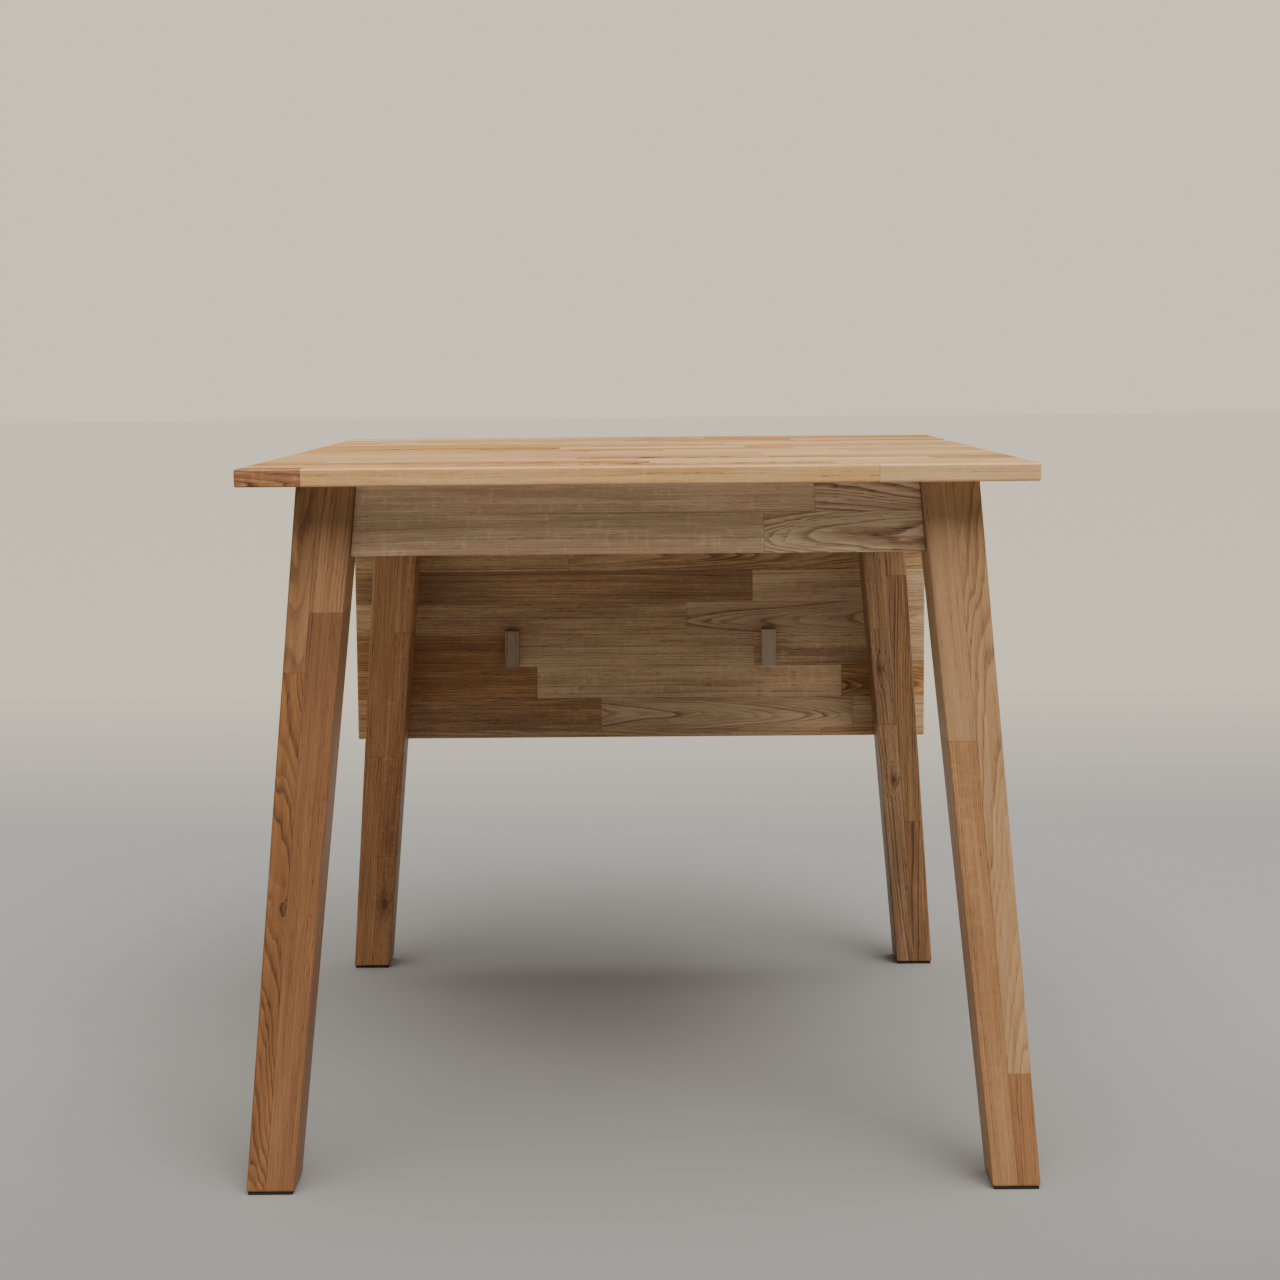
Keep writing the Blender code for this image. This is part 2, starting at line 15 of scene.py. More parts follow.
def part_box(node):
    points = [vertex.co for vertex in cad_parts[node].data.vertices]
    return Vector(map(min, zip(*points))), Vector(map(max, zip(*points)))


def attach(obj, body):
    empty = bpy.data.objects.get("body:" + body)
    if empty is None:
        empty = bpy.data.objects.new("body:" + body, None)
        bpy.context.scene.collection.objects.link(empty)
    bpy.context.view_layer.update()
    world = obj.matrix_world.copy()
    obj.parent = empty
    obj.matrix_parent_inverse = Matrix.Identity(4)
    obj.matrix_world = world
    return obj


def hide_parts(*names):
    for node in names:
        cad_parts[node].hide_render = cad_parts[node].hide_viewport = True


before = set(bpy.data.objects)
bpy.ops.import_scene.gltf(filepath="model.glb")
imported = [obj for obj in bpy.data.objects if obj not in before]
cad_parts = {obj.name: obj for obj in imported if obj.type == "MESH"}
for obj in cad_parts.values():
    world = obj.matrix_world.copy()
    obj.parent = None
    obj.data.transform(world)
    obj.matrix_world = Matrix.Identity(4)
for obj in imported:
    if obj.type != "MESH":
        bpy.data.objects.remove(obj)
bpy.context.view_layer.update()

MM = 0.001
GAP = 0.3 * MM  # glue line between two parts
HEIGHT = 0.750
BOARD = 18 * MM  # thickness of the top and of the leaf
UNDERSIDE = HEIGHT - BOARD
HALF_TOP = 0.400
LEAF_REACH = 0.400  # across the leaf, from the hinge side to the free edge
LEAF_LEAN = 0.050838  # radians off vertical, where the leaf meets the rear legs
LEG_FOOT = 3.3 * MM  # height of a leg's lower end, on its pad
LEG_HEIGHT = 0.7284
LEG_FACE = 0.348  # from the table's middle to a leg's outer face, at the leg's upper end
LEG_SPREAD = 0.063711  # how much further out that face is at the foot
LEG_SIDES = (60 * MM, 50 * MM)  # at the upper end and at the foot
LEG_WIDTH = sum(LEG_SIDES) / 2
FLAT_START = LEG_HEIGHT - 0.080  # place along the leg where its flat for the corner block begins
FLAT_FACE = 0.4213  # from the table's middle to that flat, along the diagonal
APRON_FACES = (0.319, 0.339)  # from the table's middle to an apron's inner and outer face
APRON_DROP = 75 * MM  # from the top's underside to an apron's lower edge
APRON_HEIGHT = 0.0747
SLOT_HEIGHT = 42.2 * MM  # of the rear apron's slots for the supports
SLOT_HALF_WIDTH = 10.8 * MM
SUPPORT_PLACE = 0.180  # from the table's middle to the middle of a support
HINGE_PLACE = 0.250  # from the table's middle to the middle of a hinge
STAVE_WIDTH = 44.8 * MM
ROW_EXTRA = 0.03  # how far the outer rows of staves are drawn past a board's sides
STAVE_EXTRA = 0.06  # how far the end staves are drawn past a board's ends

# The middle of the top's underside, and the leaf hinge's axis.
TOP_MIDDLE = np.array([0.0, sum(corner.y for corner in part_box("fixed_top")) / 2, UNDERSIDE])
HINGE = Matrix.Translation([sum(ends) / 2 for ends in zip(*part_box("left_hinge_pin"))])
HINGE.translation.x = 0.0
LEAF_FRAME = HINGE @ Matrix.Rotation(-np.pi / 2 - LEAF_LEAN, 4, "X")
CORNERS = {"front_left": (-1, -1), "front_right": (1, -1), "rear_left": (-1, 1), "rear_right": (1, 1)}

# ------------------------------------------------------------------ colour


def linear(hex_colour):
    """sRGB hex to linear RGBA."""
    code = np.array([int(hex_colour[i:i + 2], 16) for i in (1, 3, 5)]) / 255
    rgb = np.where(code <= 0.04045, code / 12.92, ((code + 0.055) / 1.055) ** 2.4)
    return (*(float(c) for c in rgb), 1.0)


# ------------------------------------------------------------------ nodes


def add(tree, kind, *values, out=0, inputs=None, stops=(), **settings):
    """Add one node with its settings and links, and return one of its output sockets.

    Values fill the node's inputs in order, and inputs fills others by name or number.  Each is a
    plain value or another node's output.  Stops are a colour ramp's (place, grey or hex) pairs.
    """
    made = tree.nodes.new("ShaderNode" + kind)
    for key, value in settings.items():
        setattr(made, key, value)
    for i, (place, colour) in enumerate(stops):
        element = made.color_ramp.elements[i] if i < 2 else made.color_ramp.elements.new(place)
        element.position = place
        element.color = linear(colour) if isinstance(colour, str) else (colour, colour, colour, 1.0)
    for key, value in [*enumerate(values), *(inputs or {}).items()]:
        if isinstance(value, bpy.types.NodeSocket):
            tree.links.new(value, made.inputs[key])
        else:
            made.inputs[key].default_value = value
    return made.outputs[out]


def cells(*sizes):
    """Scale of a pattern whose cells have these sizes in millimetres."""
    return tuple(1 / (size * MM) for size in sizes)


def new_material(name):
    """A material with an empty Principled shader; returns it, its tree and the shader."""
    material = bpy.data.materials.new(name)
    material.use_nodes = True
    return material, material.node_tree, material.node_tree.nodes["Principled BSDF"]


# ------------------------------------------------------------------ oak


def oak_group(shades, roughness):
    """Node group that grows oak inside one stave, in shades from pale late wood to dark pores.

    Grain is the place in the stave in metres: X along it, Y across it, Z through it.  Span holds the
    stave's half sizes.  Figure holds the pith's offset across, its depth, and the cone rate that
    turns straight rings into arches.  Knot holds a knot's place and radius, which may be zero.  Tone
    says how much darker, redder and greyer than usual the stave is, and contrast how bold its figure.
    """
    group = bpy.data.node_groups.new("oak_stave", "ShaderNodeTree")
    for name, kind in (("Grain", "Vector"), ("Seed", "Float"), ("Span", "Vector"), ("Figure", "Vector"),
                       ("Knot", "Vector"), ("Tone", "Vector"), ("Contrast", "Float")):
        group.interface.new_socket(name, in_out="INPUT", socket_type="NodeSocket" + kind)
    for name, kind in (("Color", "Color"), ("Roughness", "Float"), ("Height", "Float")):
        group.interface.new_socket(name, in_out="OUTPUT", socket_type="NodeSocket" + kind)
    source = group.nodes.new("NodeGroupInput").outputs
    grain, seed, span, figure, knot, tone, contrast = (source[i] for i in range(7))
    node = partial(add, group)
    grain_x = node("SeparateXYZ", grain)
    pith_y, pith_z, cone = node("SeparateXYZ", figure).node.outputs
    darker, redder, greyer = node("SeparateXYZ", tone).node.outputs
    flat = node("Math", cone, operation="ABSOLUTE")
    luck = node("TexWhiteNoise", inputs={"W": seed}, noise_dimensions="1D")

    # Noises by the size of their cells in millimetres: along the stave, across it and through it.
    seeds = node("CombineXYZ", seed, seed, seed)
    moved = node("VectorMath", seeds, (0.53, 0.31, 0.23), grain, operation="MULTIPLY_ADD")
    noises = {}
    for name, size, detail in (("ragged", (6.0, 2.4, 2.4), 2.0), ("wander", (280, 62, 62), 4.0),
                               ("pore", (12, 0.75, 0.75), 1.0), ("fibre", (70, 2.8, 2.8), 4.0),
                               ("streak", (200, 10.5, 10.5), 3.0), ("broad", (250, 45, 45), 3.0),
                               ("ray", (6.0, 16, 16), 3.0)):
        place = node("VectorMath", moved, cells(*size), operation="MULTIPLY")
        noises[name] = node("TexNoise", inputs={"Vector": place, "Scale": 1.0, "Detail": detail})

    # A knot pushes the rings round it, and its edge is ragged.
    radius = node("Math", node("SeparateXYZ", knot, out=2), 0.01 * MM, operation="ADD")
    knot_place = node("VectorMath", knot, (1, 1, 0), operation="MULTIPLY")
    from_knot = node("VectorMath", grain, knot_place, operation="SUBTRACT")
    from_knot = node("VectorMath", from_knot, (0.45, 1.0, 0.0), operation="MULTIPLY")
    from_knot = node("VectorMath", from_knot, out="Value", operation="LENGTH")
    ragged = node("Math", noises["ragged"], 1.1, 0.45, operation="MULTIPLY_ADD")
    from_knot = node("Math", from_knot, ragged, operation="MULTIPLY")
    from_knot = node("Math", from_knot, radius, operation="DIVIDE")
    knot_push = node("MapRange", from_knot, 5.0, 0.0, 0.0, 2.6, interpolation_type="SMOOTHSTEP")
    core = node("MapRange", from_knot, 0.62, 0.48, interpolation_type="SMOOTHSTEP")
    halo = node("MapRange", from_knot, 2.2, 0.7, interpolation_type="SMOOTHSTEP")

    # Growth rings: distance from a pith that wanders, plus a cone along the stave.
    wander = noises["wander"].node.outputs["Color"]
    wander = node("VectorMath", wander, (0.5, 0.5, 0.5), operation="SUBTRACT")
    wander = node("VectorMath", wander, (0, 1, 1), operation="MULTIPLY")
    wide = node("Math", flat, 150 * MM, 9 * MM, operation="MULTIPLY_ADD")
    wander = node("VectorMath", wander, inputs={"Scale": wide}, operation="SCALE")
    pith = node("CombineXYZ", 0.0, pith_y, node("Math", pith_z, -1.0, operation="MULTIPLY"))
    from_pith = node("VectorMath", grain, pith, operation="SUBTRACT")
    from_pith = node("VectorMath", from_pith, (0, 1, 1), wander, operation="MULTIPLY_ADD")
    reach = node("VectorMath", from_pith, out="Value", operation="LENGTH")
    reach = node("Math", cone, grain_x, reach, operation="MULTIPLY_ADD")
    reach = node("Math", knot_push, radius, reach, operation="MULTIPLY_ADD")
    spacing = node("Math", flat, 12 * MM, 1.5 * MM, operation="MULTIPLY_ADD")
    spacing = node("Math", luck, 1.1 * MM, spacing, operation="MULTIPLY_ADD")
    years = node("Math", reach, spacing, operation="DIVIDE")
    slow = node("Math", years, 0.31, seed, operation="MULTIPLY_ADD")
    slow = node("TexNoise", inputs={"W": slow, "Scale": 1.0, "Detail": 1.0}, noise_dimensions="1D")
    years = node("Math", slow, 2.4, years, operation="MULTIPLY_ADD")
    whole = node("Math", node("Math", years, operation="FLOOR"), seed, operation="ADD")
    strength = node("TexWhiteNoise", inputs={"W": whole}, noise_dimensions="1D")
    strength = node("Math", strength, 0.80, 0.20, operation="MULTIPLY_ADD")
    early = node("ValToRGB", node("Math", years, operation="FRACT"),
                 stops=((0.0, 0.95), (0.12, 1.0), (0.34, 0.42), (0.62, 0.12), (0.90, 0.0), (1.0, 0.95)))
    early = node("Math", early, strength, operation="MULTIPLY")
    bold = node("Math", flat, 7.0, 0.55, operation="MULTIPLY_ADD")
    banded = node("Math", early, bold, operation="MULTIPLY")

    # Pores crowd into the early wood; rays show only where the rings meet the face squarely.
    crowded = node("Math", early, 0.70, 0.30, operation="MULTIPLY_ADD")
    pores = node("MapRange", noises["pore"], 0.55, 0.68, interpolation_type="SMOOTHSTEP")
    pores = node("Math", pores, crowded, operation="MULTIPLY")
    quartered = node("Math", node("Math", pith_y, operation="ABSOLUTE"), pith_z, operation="DIVIDE")
    quartered = node("MapRange", quartered, 1.0, 2.0, interpolation_type="SMOOTHSTEP")
    rays = node("MapRange", noises["ray"], 0.55, 0.68, interpolation_type="SMOOTHSTEP")
    rays = node("Math", rays, quartered, operation="MULTIPLY")

    # Glue lines run along the stave's sides and ends.
    to_edge = node("VectorMath", grain, operation="ABSOLUTE")
    to_edge = node("VectorMath", span, to_edge, operation="SUBTRACT")
    to_end, to_side, _ = node("SeparateXYZ", to_edge).node.outputs
    nearest = node("Math", to_end, to_side, operation="MINIMUM")
    glue = node("MapRange", nearest, 0.55 * MM, 0.10 * MM, interpolation_type="SMOOTHSTEP")

    # The shade adds them up.  Fibre, streak and broad are noises about a half, which is taken off.
    shade = node("Math", banded, 0.48, -0.5 * (0.46 + 0.48 + 0.48) - 0.10, operation="MULTIPLY_ADD")
    for part, weight in ((pores, 0.44), (noises["fibre"], 0.46), (noises["streak"], 0.48),
                         (noises["broad"], 0.48), (rays, -0.10), (halo, 0.20)):
        shade = node("Math", part, weight, shade, operation="MULTIPLY_ADD")
    usual = node("Math", darker, 0.32, operation="ADD")
    shade = node("Math", shade, contrast, usual, operation="MULTIPLY_ADD")
    hue = node("Math", redder, -0.035, 0.5, operation="MULTIPLY_ADD")
    vivid = node("Math", 1.0, greyer, operation="SUBTRACT")
    colour = node("ValToRGB", shade, stops=shades)
    colour = node("HueSaturation", inputs={"Hue": hue, "Saturation": vivid, "Color": colour})
    for mask, weight, dark in ((glue, 0.45, "#4a3120"), (core, 0.60, "#3a2614")):
        amount = node("Math", mask, weight, operation="MULTIPLY")
        colour = node("Mix", amount, inputs={6: colour, 7: linear(dark)}, out=2, data_type="RGBA")

    rough = node("Math", noises["fibre"], 0.20, roughness - 0.10, operation="MULTIPLY_ADD")
    rough = node("Math", early, 0.10, rough, operation="MULTIPLY_ADD")
    hollow = node("Math", early, 0.35, pores, operation="MULTIPLY_ADD")
    hollow = node("Math", hollow, glue, operation="ADD")
    height = node("Math", hollow, -0.10 * MM, operation="MULTIPLY")
    height = node("Math", noises["fibre"], 0.08 * MM, height, operation="MULTIPLY_ADD")
    sink = group.nodes.new("NodeGroupOutput").inputs
    for socket, result in zip(sink, (colour, rough, height)):
        group.links.new(result, socket)
    return group


def oak_material(name, shades, roughness):
    """Oak that reads its staves from the board's attributes; colours run from late wood to pores."""
    material, tree, shader = new_material(name)
    stave = add(tree, "Group", node_tree=oak_group(shades, roughness)).node
    for key in ("Grain", "Seed", "Span", "Figure", "Knot", "Tone", "Contrast"):
        stored = "Fac" if key in ("Seed", "Contrast") else "Vector"
        read = add(tree, "Attribute", out=stored, attribute_name=key.lower())
        tree.links.new(read, stave.inputs[key])
    height = stave.outputs["Height"]
    bump = add(tree, "Bump", inputs={"Distance": 1.0, "Strength": 0.7, "Height": height})
    tree.links.new(stave.outputs["Color"], shader.inputs["Base Color"])
    tree.links.new(stave.outputs["Roughness"], shader.inputs["Roughness"])
    tree.links.new(bump, shader.inputs["Normal"])
    return material


# ------------------------------------------------------------------ laminated boards


def lattice_lines(length, inner, radius):
    """Places of the lattice lines along one side: the inner ones, and those that round its edges."""
    edge = np.array([0.0, np.tan(np.pi / 8) * radius, radius, radius + GAP])
    inner = np.array([line for line in inner if radius + 2 * GAP < line < length - radius - 2 * GAP])
    return np.unique(np.round(np.concatenate([edge, length - edge, inner]), 7))


def lattice_surface(lines):
    """The closed surface of a box lattice: welded points and outward quads, side by side."""
    points = []
    quads = []
    count = 0
    for axis in range(3):
        first, second = (axis + 1) % 3, (axis + 2) % 3
        grid = np.meshgrid(lines[first], lines[second], indexing="ij")
        index = np.arange(grid[0].size).reshape(grid[0].shape)
        quad = np.stack([index[:-1, :-1], index[1:, :-1], index[1:, 1:], index[:-1, 1:]], axis=-1)
        quad = quad.reshape(-1, 4)
        for end in (0, -1):
            side = np.empty((grid[0].size, 3))
            side[:, axis] = lines[axis][end]
            side[:, first] = grid[0].ravel()
            side[:, second] = grid[1].ravel()
            points.append(side)
            quads.append((quad if end else quad[:, ::-1]) + count)
            count += len(side)
    points, index = np.unique(np.round(np.concatenate(points), 7), axis=0, return_inverse=True)
    return points, index.reshape(-1)[np.concatenate(quads)]


def look(across, depth, cone, tone, **more):
    """How one stave looks.  Its pith lies across and depth millimetres off, and cone makes the arches.

    Tone is how much darker, redder and greyer than usual it is; more may hold a knot, seed or contrast.
    """
    return {"figure": (across * MM, depth * MM, cone), "tone": tone, **more}


def random_look(rng):
    """A random stave: three in ten are flat sawn with arches, and the rest run straight."""
    if rng.random() < 0.3:
        across = rng.normal(0, 7)
        depth = rng.uniform(18, 45)
        cone = rng.choice([-1, 1]) * rng.uniform(0.03, 0.09)
    else:
        across = rng.choice([-1, 1]) * rng.uniform(35, 140)
        depth = rng.uniform(20, 110)
        cone = rng.normal(0, 0.012)
    tone = (rng.normal(0, 0.095), rng.normal(0, 0.10), rng.normal(0.02, 0.06))
    seed = rng.uniform(0, 90)
    contrast = rng.uniform(0.85, 1.15)
    return look(across, depth, cone, tone, knot=(0.0, 0.0, 0.0), seed=seed, contrast=contrast)


def lay_staves(rng, length, rows, chosen=None, contrast=1.0):
    """Staves of a board, row by row; a row is (low side, high side, joints along it).

    Staves run on past the board's own ends, so that no glue line shows there.  Each is random
    unless chosen gives values for its (row, place in the row).
    """
    staves = []
    for row, (low, high, joints) in enumerate(rows):
        ends = [-STAVE_EXTRA, *joints, length + STAVE_EXTRA]
        for place, (start, end) in enumerate(zip(ends, ends[1:])):
            stave = {"start": start, "end": end, "low": low, "high": high, **random_look(rng)}
            stave.update((chosen or {}).get((row, place), {}))
            stave["contrast"] *= contrast
            staves.append(stave)
    return staves


def board(name, body, node, finish, size, staves, shape, radius,
          cuts=((), (), ()), under=(0, 0, 0)):
    """A laminated board that stands for a CAD node. Size is along the grain, across and through.

    The board is a box lattice with lines along every stave's sides.  A point p within one radius of
    an edge moves to q + radius * (p - q) / |p - q|, where q is p clamped that far inside the box.
    Shape then turns (along, across, through) places into places in the shared frame.  Cuts are
    further lattice lines, and under is added to the tone of the face at through = 0, as painted shade
    for a face that lies in shadow.
    """
    size = np.array(size)
    along = [stave[key] for stave in staves for key in ("start", "end")] + list(cuts[0])
    across = [stave[key] for stave in staves for key in ("low", "high")] + list(cuts[1])
    lines = [lattice_lines(side, inner, radius) for side, inner in zip(size, (along, across, cuts[2]))]
    points, quads = lattice_surface(lines)
    middles = points[quads].mean(axis=1)
    within = np.clip(points, radius, size - radius)
    away = points - within
    points = within + radius * away / np.linalg.norm(away, axis=1, keepdims=True)
    index = np.zeros(len(quads), int)
    for i, stave in enumerate(staves):
        inside = (middles[:, 0] > stave["start"]) & (middles[:, 0] < stave["end"])
        index[inside & (middles[:, 1] > stave["low"]) & (middles[:, 1] < stave["high"])] = i
    values = {key: np.array([stave[key] for stave in staves])[index]
              for key in ("figure", "tone", "seed", "contrast")}
    # Painted shade: the face at through = 0 takes the extra tone under, which darkens it where it lies
    # in shadow.
    values["tone"] += np.where(middles[:, 2:] < 0.5 * radius, under, 0.0)
    starts, ends, lows, highs = np.array([[stave[key] for key in ("start", "end", "low", "high")]
                                          for stave in staves]).T
    each = np.ones(len(staves))
    centre = np.stack([(starts + ends) / 2, (lows + highs) / 2, size[2] / 2 * each], axis=-1)
    span = np.stack([(ends - starts) / 2, (highs - lows) / 2, each], axis=-1)
    knot = np.array([stave["knot"] for stave in staves])
    knot[:, :2] -= np.where(knot[:, 2:] > 0, centre[:, :2], 0.0)
    placed = np.stack(shape(*points.T), axis=-1)
    corners = placed[quads]
    outward = np.cross(corners[:, 2] - corners[:, 0], corners[:, 3] - corners[:, 1])
    if (outward * (corners.mean(axis=1) - placed.mean(axis=0))).sum() < 0:
        quads = quads[:, ::-1]
    mesh = bpy.data.meshes.new(name)
    mesh.from_pydata(placed, [], quads)
    grain = points[quads] - centre[index][:, None, :]
    store(mesh, "grain", "FLOAT_VECTOR", "CORNER", grain)
    store(mesh, "span", "FLOAT_VECTOR", "FACE", span[index])
    store(mesh, "knot", "FLOAT_VECTOR", "FACE", knot[index])
    for key, value in values.items():
        store(mesh, key, "FLOAT_VECTOR" if value.ndim == 2 else "FLOAT", "FACE", value)
    return piece(name, mesh, body, finish, node)


def store(mesh, name, kind, domain, values):
    """Keep numbers on a mesh as a named attribute."""
    attribute = mesh.attributes.new(name, kind, domain)
    field = "value" if kind == "FLOAT" else "vector"
    attribute.data.foreach_set(field, np.asarray(values, np.float32).ravel())


def piece(name, mesh, body, finish, node=None):
    """Put a mesh in the scene as a piece of the table, in place of a CAD node if one is given."""
    mesh.materials.append(finish)
    mesh.shade_smooth()
    mesh.set_sharp_from_angle(angle=np.radians(35))
    made = bpy.data.objects.new(name, mesh)
    bpy.context.scene.collection.objects.link(made)
    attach(made, body)
    if node:
        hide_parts(node)
    return made


# ------------------------------------------------------------------ top and leaf


def random_rows(rng, width, length, first):
    """Rows of staves across a board, with random joints; first is the first row's width."""
    rows = []
    low = first - STAVE_WIDTH
    while low < width:
        lengths = rng.uniform(0.17, 0.46, 6)
        joints = np.cumsum(lengths) - rng.uniform(0.0, 0.2)
        joints = [float(joint) for joint in joints if 0.03 < joint < length - 0.03]
        rows.append([low, low + STAVE_WIDTH, joints])
        low += STAVE_WIDTH
    rows[0][0] -= ROW_EXTRA
    rows[-1][1] += ROW_EXTRA
    return rows


def build_top():
    """The fixed top.  Its first row shows on the front edge, so its staves are chosen."""
    rng = np.random.default_rng(11)
    side = 2 * HALF_TOP
    rows = random_rows(rng, side, side, first=STAVE_WIDTH / 2)
    rows[0][2] = [0.066, 0.640]
    straight = (80, 40, 0.004)
    chosen = {(0, 0): look(18, 4, 0.09, (0.32, 0.1, 0.06)),
              (0, 1): look(*straight, (-0.04, 0.0, -0.02), contrast=0.7),
              (0, 2): look(*straight, (-0.16, 0.0, 0.0), contrast=0.5)}

    def shape(along, across, through):
        return TOP_MIDDLE[0] + along - HALF_TOP, TOP_MIDDLE[1] + across - HALF_TOP, UNDERSIDE + through

    board("top_board", "table_frame", "fixed_top", TOP_OAK, (side, side, BOARD),
          lay_staves(rng, side, rows, chosen, contrast=1.15), shape, radius=2 * MM)


def in_leaf_frame(x, y, z):
    """Places in the hinge's frame, whose Y runs down the leaf and Z through its show face."""
    turn = np.array(LEAF_FRAME)
    return tuple(turn[i, 0] * x + turn[i, 1] * y + turn[i, 2] * z + turn[i, 3] for i in range(3))


def build_leaf():
    """The leaf.  The rows that show under the top, on its inner face, are chosen; their tones are
    partly the staves' own and partly painted shade.
    """
    rng = np.random.default_rng(5)
    rows = random_rows(rng, LEAF_REACH, 2 * HALF_TOP, first=30.3 * MM)
    for row, joints in ((3, [-0.100]), (4, [0.158]), (5, [0.065]), (6, [-0.185, 0.160]),
                        (7, [-0.146, 0.283]), (8, [-0.056, 0.299]), (9, [0.255])):
        rows[row][2] = [HALF_TOP + joint for joint in joints]
    plain = (90, 60, 0.004)
    arches = (2, 22, -0.060)
    clearance = 0.5 * MM  # from the hinge's axis to the leaf's near edge
    face = 3.8 * MM  # from the hinge's axis to the leaf's inner face
    # Tones partly their own, partly painted shade: the left-hand staves are darker and redder to paint
    # the deep shade on the left of the inner face, and all are darker than the top's for the shade
    # beneath the top.
    chosen = {(3, 0): look(*plain, (0.08, 0.0, 0.04)),
              (3, 1): look(-4, 30, 0.05, (0.06, 0.0, 0.00)),
              (4, 0): look(60, 40, 0.012, (0.21, 0.0, 0.00)),
              (4, 1): look(-70, 60, 0.01, (-0.04, 0.0, 0.12)),
              (5, 0): look(*plain, (0.11, 0.0, 0.06)),
              (5, 1): look(*arches, (0.02, 0.0, 0.12), contrast=0.62),
              (6, 0): look(*plain, (0.23, 0.1, -0.09)),
              (6, 1): look(60, 40, 0.006, (0.04, 0.0, 0.10)),
              (6, 2): look(-50, 30, 0.004, (0.04, 0.0, 0.10)),
              (7, 0): look(*plain, (0.19, 0.1, -0.09)),
              (7, 1): look(-110, 60, 0.0, (-0.03, 0.0, 0.10)),
              (7, 2): look(6, 30, 0.07, (0.12, 0.0, -0.09)),
              (8, 0): look(*plain, (0.15, 0.1, -0.02)),
              (8, 1): look(2, 18, 0.090, (0.02, 0.0, 0.14), contrast=0.8),
              (8, 2): look(-60, 60, 0.01, (0.02, 0.0, 0.08))}

    def shape(along, across, through):
        return in_leaf_frame(along - HALF_TOP, clearance + across, face + through)

    # Painted shade: under darkens and greys the whole inner face, for the shadow that the top casts on
    # it.
    board("leaf_board", "leaf", "drop_leaf", TOP_OAK,
          (2 * HALF_TOP, LEAF_REACH, BOARD), lay_staves(rng, 2 * HALF_TOP, rows, chosen), shape,
          radius=2 * MM, under=(0.12, -0.25, 0.12))


# ------------------------------------------------------------------ legs and aprons


def leg_shape(sign_x, sign_y):
    """Shape of one leg: a splayed square taper with a flat on its inner corner for the corner block.

    With d the part of the leg's height that lies above a point, the side is 60 mm - 10 mm * d and the
    outer face is at LEG_FACE + LEG_SPREAD * d.  Lines of the inner corner that fall short of the flat
    x + y = sqrt(2) * FLAT_FACE are pushed out to it.
    """

    def shape(along, across, through):
        down = 1 - along / LEG_HEIGHT
        side = LEG_SIDES[0] + (LEG_SIDES[1] - LEG_SIDES[0]) * down
        outer = LEG_FACE + LEG_SPREAD * down
        x = outer - side * (1 - across / LEG_WIDTH)
        y = outer - side * (1 - through / LEG_WIDTH)
        short = np.maximum(FLAT_FACE * np.sqrt(2) - x - y, 0.0)
        corner = (along > FLAT_START) & (across < 5 * MM) & (through < 5 * MM)
        push = np.where(corner, short / 2, 0.0)
        return sign_x * (x + push), TOP_MIDDLE[1] + sign_y * (y + push), LEG_FOOT + along

    return shape


def build_legs():
    """Each leg is two staves wide: one on the inner side and one on the outer, with butt joints."""
    swirl = look(-20, 26, 0.035, (0.16, -0.1, 0.14), seed=7.3)
    # Where a leg's two rows meet, the joints of its inner and its outer row, and the chosen looks.
    plans = {
        "front_left": (33 * MM, [0.598], [0.537], {
            (0, 0): look(-60, 50, 0.01, (0.31, 0.0, 0.04)),
            (0, 1): look(-40, 50, 0.02, (0.22, -0.1, 0.08)),
            (1, 0): look(0, 22, 0.08, (0.28, 0.05, 0.0), knot=(0.294, 38 * MM, 2.2 * MM)),
            (1, 1): look(-8, 26, -0.05, (0.24, -0.1, 0.06))}),
        # Its outer row shows one joint, at 0.118: the second stave has no length, and the third
        # covers the rest.
        "front_right": (29 * MM, [0.462], [0.253, 0.118], {
            (0, 0): look(-90, 50, 0.0, (0.12, 0.0, 0.05)),
            (0, 1): look(-70, 50, 0.0, (0.05, -0.1, 0.13)),
            (1, 0): look(30, 30, 0.02, (0.20, 0.1, 0.03)),
            (1, 2): look(0, 24, 0.05, (0.0, -0.1, 0.10))}),
        "rear_left": (27 * MM, [0.164, 0.486], [0.310], {
            (0, 0): look(30, 40, 0.02, (0.06, 0.1, 0.02), knot=(0.093, 13 * MM, 6.5 * MM)),
            (0, 1): look(80, 40, 0.0, (0.12, 0.2, 0.0)),
            (0, 2): look(-60, 40, 0.01, (0.06, 0.1, 0.0)),
            (1, 0): look(-50, 40, 0.02, (0.10, 0.2, 0.0)),
            (1, 1): look(70, 50, 0.01, (0.04, 0.1, 0.0))}),
        "rear_right": (28 * MM, [0.350, 0.486], [0.210, 0.560], {
            (0, 0): {**swirl, "knot": (0.271, 18 * MM, 3.6 * MM)},
            (0, 1): {**swirl, "knot": (0.430, 10 * MM, 3.2 * MM)},
            (0, 2): look(-60, 40, 0.02, (0.17, -0.1, 0.10)),
            (1, 0): look(3, 24, 0.07, (0.24, 0.0, 0.06)),
            (1, 1): look(10, 26, 0.06, (0.22, -0.1, 0.08)),
            (1, 2): look(60, 40, 0.01, (0.15, -0.1, 0.10))}),
    }
    for number, (corner, signs) in enumerate(CORNERS.items()):
        rng = np.random.default_rng(60 + number)
        split, inner_joints, outer_joints, chosen = plans[corner]
        rows = [(-ROW_EXTRA, split, inner_joints), (split, LEG_WIDTH + ROW_EXTRA, outer_joints)]
        contrast = 0.7 if signs[1] < 0 else 1.1
        flat_lines = ((FLAT_START - GAP, FLAT_START + GAP), (18 * MM,), (18 * MM,))
        board("leg_" + corner + "_oak", "table_frame", "leg_" + corner, FRAME_OAK,
              (LEG_HEIGHT, LEG_WIDTH, LEG_WIDTH), lay_staves(rng, LEG_HEIGHT, rows, chosen, contrast),
              leg_shape(*signs), radius=2.5 * MM, cuts=flat_lines)


